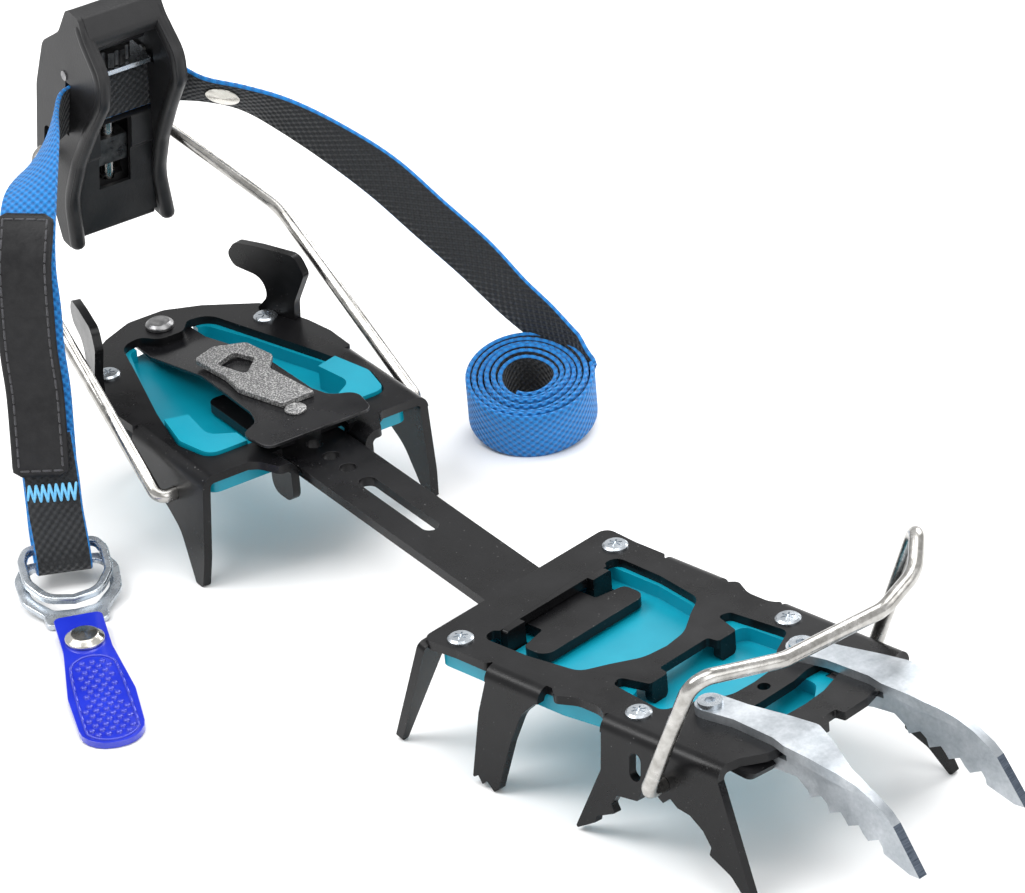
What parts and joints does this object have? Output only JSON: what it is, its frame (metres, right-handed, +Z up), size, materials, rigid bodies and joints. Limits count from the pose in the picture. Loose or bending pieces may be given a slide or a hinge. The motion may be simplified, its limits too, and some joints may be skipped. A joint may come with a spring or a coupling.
{
  "type": "crampon",
  "caption": "Boot crampon with folded steel heel and front frames joined by a perforated bar, with a wire toe bail, a heel lever on a wire bail, and a strap with a double ring buckle.",
  "frame": {"origin": "on the ground, in the middle of the metal and plastic parts' footprint, leaving out the strap and its buckle", "axes": "+X towards the toe along the heel frame and bar, +Y to the inner side of the right foot, +Z up from the ground"},
  "size_m": [0.3904, 0.2125, 0.1412],
  "materials": {
    "black_steel": "satin",
    "cyan_plastic": "satin",
    "zinc_plug": "satin",
    "rivet_steel": "satin",
    "spring_steel": "gloss",
    "tab_steel": "sandblasted",
    "bar_steel": "satin",
    "zinc_points": "galvanised",
    "bright_wire": "polished",
    "black_plastic": "grained",
    "wheel_steel": "satin",
    "webbing": "woven",
    "patch_leather": "matte",
    "ring_steel": "zinc plated",
    "tab_blue": "gloss",
    "stud_nickel": "polished"
  },
  "bodies": {
    "heel": {"heel_frame": "black_steel", "heel_antiball_plate": "cyan_plastic", "heel_plugs": "zinc_plug", "spring_rivet": "rivet_steel"},
    "lock": {"lock_spring": "spring_steel", "lock_tab": "tab_steel", "lock_pin": "tab_steel", "lock_collar": "rivet_steel"},
    "bar": {"linking_bar": "bar_steel"},
    "front": {"front_frame": "black_steel", "front_antiball_plate": "cyan_plastic", "front_plugs": "zinc_plug", "front_point_left": "zinc_points", "front_point_right": "zinc_points", "point_bolts": "rivet_steel", "point_nuts": "rivet_steel"},
    "toe_bail": {"toe_bail": "bright_wire"},
    "heel_bail": {"heel_bail": "bright_wire"},
    "block": {"adjuster_block": "bar_steel"},
    "lever": {"heel_lever": "black_plastic", "wheel_plate": "zinc_plug", "wheel_pins": "rivet_steel", "strap_inner_run": "webbing", "strap_buckle_run": "webbing", "strap_free_run": "webbing", "strap_roll": "webbing", "strap_rivet": "rivet_steel", "label_patch": "patch_leather"},
    "wheel": {"thumbwheel": "wheel_steel", "adjuster_screw": "bright_wire"},
    "ring": {"buckle_ring": "ring_steel"},
    "ring_plate": {"buckle_plate": "ring_steel"},
    "tab": {"pull_tab": "tab_blue", "tab_stud": "stud_nickel"}
  },
  "joints": [
    {"name": "bar_slide", "type": "slide", "parent": "heel", "child": "bar", "axis": [1, 0, 0], "range_m": [-0.018, 0.027]},
    {"name": "front_flex", "type": "hinge", "parent": "bar", "child": "front", "pos_m": [0.04505, -0.00938, 0.0331], "axis": [-0.225, 0.9744, 0], "range_deg": [0, 3.5], "stiffness_Nm_per_rad": 40},
    {"name": "lock_lift", "type": "hinge", "parent": "heel", "child": "lock", "pos_m": [-0.16761, -0.0108, 0.0334], "axis": [0, 1, 0], "range_deg": [0, 1.8]},
    {"name": "toe_bail_hinge", "type": "hinge", "parent": "front", "child": "toe_bail", "pos_m": [0.11911, 0.00772, 0.025], "axis": [-0.225, 0.9744, 0], "range_deg": [-60, 25]},
    {"name": "heel_bail_hinge", "type": "hinge", "parent": "heel", "child": "heel_bail", "pos_m": [-0.08961, -0.0108, 0.025], "axis": [0, 1, 0], "range_deg": [-15, 45]},
    {"name": "block_pivot", "type": "hinge", "parent": "heel_bail", "child": "block", "pos_m": [-0.18861, -0.0108, 0.09], "axis": [0, 1, 0], "range_deg": [-10, 10]},
    {"name": "lever_adjust", "type": "slide", "parent": "block", "child": "lever", "axis": [0.1736, 0, 0.9848], "range_m": [-0.006, 0.006]},
    {"name": "wheel_spin", "type": "hinge", "parent": "lever", "child": "wheel", "pos_m": [-0.17632, -0.0108, 0.12017], "axis": [0.1736, 0, 0.9848], "range_deg": [-1080.1, 1080.1]},
    {"name": "ring_swing", "type": "hinge", "parent": "lever", "child": "ring", "pos_m": [-0.10838, -0.07839, 0.01017], "axis": [0.3584, 0.9336, 0], "range_deg": [-40, 0]},
    {"name": "plate_swing", "type": "hinge", "parent": "lever", "child": "ring_plate", "pos_m": [-0.10894, -0.07817, 0.00734], "axis": [0.3584, 0.9336, 0], "range_deg": [0, 10]},
    {"name": "tab_swing", "type": "hinge", "parent": "ring_plate", "child": "tab", "pos_m": [-0.08338, -0.08799, 0.00152], "axis": [0.3502, 0.9367, 0], "range_deg": [-15, 15]}
  ],
  "couplings": [
    {"joint": "wheel_spin", "follows": "lever_adjust", "rad_per_m": 3141.6}
  ]
}
